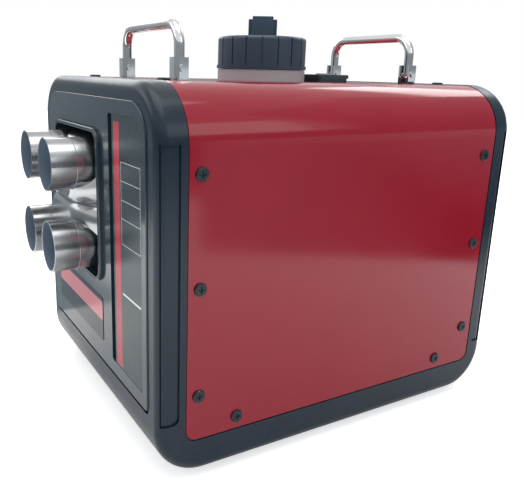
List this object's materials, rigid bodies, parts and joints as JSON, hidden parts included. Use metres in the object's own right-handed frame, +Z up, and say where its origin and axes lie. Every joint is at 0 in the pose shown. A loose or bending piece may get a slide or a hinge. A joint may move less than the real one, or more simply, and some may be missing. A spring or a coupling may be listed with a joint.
{
  "type": "diesel air heater",
  "caption": "Portable all-in-one diesel air heater: boxy rounded housing, hot-air outlet tubes on its front face, fuel filler, control panel and folding handles on top.",
  "frame": {"origin": "middle of the housing's footprint, on the surface the feet stand on", "axes": "+Z up, the hot-air outlets face -Y, X across the width"},
  "size_m": [0.273, 0.416, 0.3418],
  "materials": {
    "frame_black": "satin moulded plastic",
    "cover_red": "gloss paint on sheet steel",
    "screw_black": "black oxide",
    "panel_gloss": "gloss",
    "plate_print": "printed foil, black with a red stripe",
    "label_print": "printed foil, black with a red band",
    "stainless": "brushed",
    "handle_chrome": "polished",
    "cap_black": "satin",
    "ring_grey": "satin",
    "tank_white": "milky blow-moulded plastic",
    "seal_rubber": "matt",
    "hose_rubber": "matt",
    "zinc_steel": "zinc plated",
    "cast_aluminium": "as cast",
    "core_plastic": "matt, glass filled",
    "fan_plastic": "matt",
    "board_green": "solder mask",
    "screen_glass": "dark display window",
    "button_grey": "satin",
    "filter_clear": "clear plastic",
    "wire_black": "matt sleeve"
  },
  "bodies": {
    "housing": {"front_frame": "frame_black", "base_tray": "frame_black", "rear_frame": "frame_black", "cover": "cover_red", "cover_screws": "screw_black", "front_panel": "panel_gloss", "data_plate": "plate_print", "front_label": "label_print", "outlet_collar": "panel_gloss", "outlet_manifold": "stainless", "outlet_tube_upper_left": "stainless", "outlet_tube_upper_right": "stainless", "outlet_tube_lower_left": "stainless", "outlet_tube_lower_right": "stainless", "outlet_duct": "zinc_steel", "handle_brackets": "handle_chrome", "handle_pins": "handle_chrome", "handle_backing": "zinc_steel", "handle_nuts": "zinc_steel", "fuel_tank": "tank_white", "filler_ring": "ring_grey", "fuel_pickup": "core_plastic", "fuel_filter": "filter_clear", "fuel_pump_body": "zinc_steel", "fuel_pump_mount": "seal_rubber", "fuel_lines": "hose_rubber", "core_lower_shell": "core_plastic", "core_upper_shell": "core_plastic", "heat_exchanger": "cast_aluminium", "burner": "stainless", "glow_plug": "zinc_steel", "exchanger_gasket": "seal_rubber", "blower_housing": "cast_aluminium", "blower_motor": "zinc_steel", "overheat_sensor": "zinc_steel", "core_stands": "zinc_steel", "control_unit": "core_plastic", "exhaust_pipe": "stainless", "intake_pipe": "cast_aluminium", "control_bezel": "panel_gloss", "control_board": "board_green", "control_screen": "screen_glass", "rear_grille": "frame_black", "power_inlet": "frame_black", "wiring": "wire_black", "feet": "seal_rubber", "foot_screws": "screw_black"},
    "front_handle": {"front_handle": "handle_chrome"},
    "rear_handle": {"rear_handle": "handle_chrome"},
    "cap_seal": {"cap_seal": "seal_rubber"},
    "filler_cap": {"filler_cap": "cap_black", "cap_knob": "cap_black"},
    "blower_rotor": {"motor_rotor": "zinc_steel", "combustion_fan": "cast_aluminium", "hot_air_fan": "fan_plastic"},
    "pump_plunger": {"fuel_pump_plunger": "stainless"},
    "button_power": {"button_power": "button_grey"},
    "button_up": {"button_up": "button_grey"},
    "button_ok": {"button_ok": "button_grey"},
    "button_down": {"button_down": "button_grey"}
  },
  "joints": [
    {"name": "front_handle_fold", "type": "hinge", "parent": "housing", "child": "front_handle", "pos_m": [0, -0.1165, 0.2952], "axis": [-1, 0, 0], "range_deg": [0, 90]},
    {"name": "rear_handle_fold", "type": "hinge", "parent": "housing", "child": "rear_handle", "pos_m": [0, 0.1225, 0.2952], "axis": [1, 0, 0], "range_deg": [0, 90]},
    {"name": "cap_lift", "type": "slide", "parent": "housing", "child": "cap_seal", "axis": [0, 0, 1], "range_m": [0, 0.01]},
    {"name": "cap_turn", "type": "hinge", "parent": "cap_seal", "child": "filler_cap", "pos_m": [0, -0.0076, 0.31], "axis": [0, 0, 1], "range_deg": [0, 900]},
    {"name": "blower_spin", "type": "hinge", "parent": "housing", "child": "blower_rotor", "pos_m": [-0.042, 0.06, 0.176], "axis": [0, 1, 0], "continuous": true},
    {"name": "pump_stroke", "type": "slide", "parent": "housing", "child": "pump_plunger", "axis": [0, -1, 0], "range_m": [0, 0.002], "stiffness_N_per_m": 300, "springref_m": -0.002},
    {"name": "button_power_press", "type": "slide", "parent": "housing", "child": "button_power", "axis": [0, 0, -1], "range_m": [0, 0.001], "stiffness_N_per_m": 600, "springref_m": -0.001},
    {"name": "button_up_press", "type": "slide", "parent": "housing", "child": "button_up", "axis": [0, 0, -1], "range_m": [0, 0.001], "stiffness_N_per_m": 600, "springref_m": -0.001},
    {"name": "button_ok_press", "type": "slide", "parent": "housing", "child": "button_ok", "axis": [0, 0, -1], "range_m": [0, 0.001], "stiffness_N_per_m": 600, "springref_m": -0.001},
    {"name": "button_down_press", "type": "slide", "parent": "housing", "child": "button_down", "axis": [0, 0, -1], "range_m": [0, 0.001], "stiffness_N_per_m": 600, "springref_m": -0.001}
  ],
  "couplings": [
    {"joint": "cap_lift", "follows": "cap_turn", "m_per_rad": 0.00063662}
  ]
}
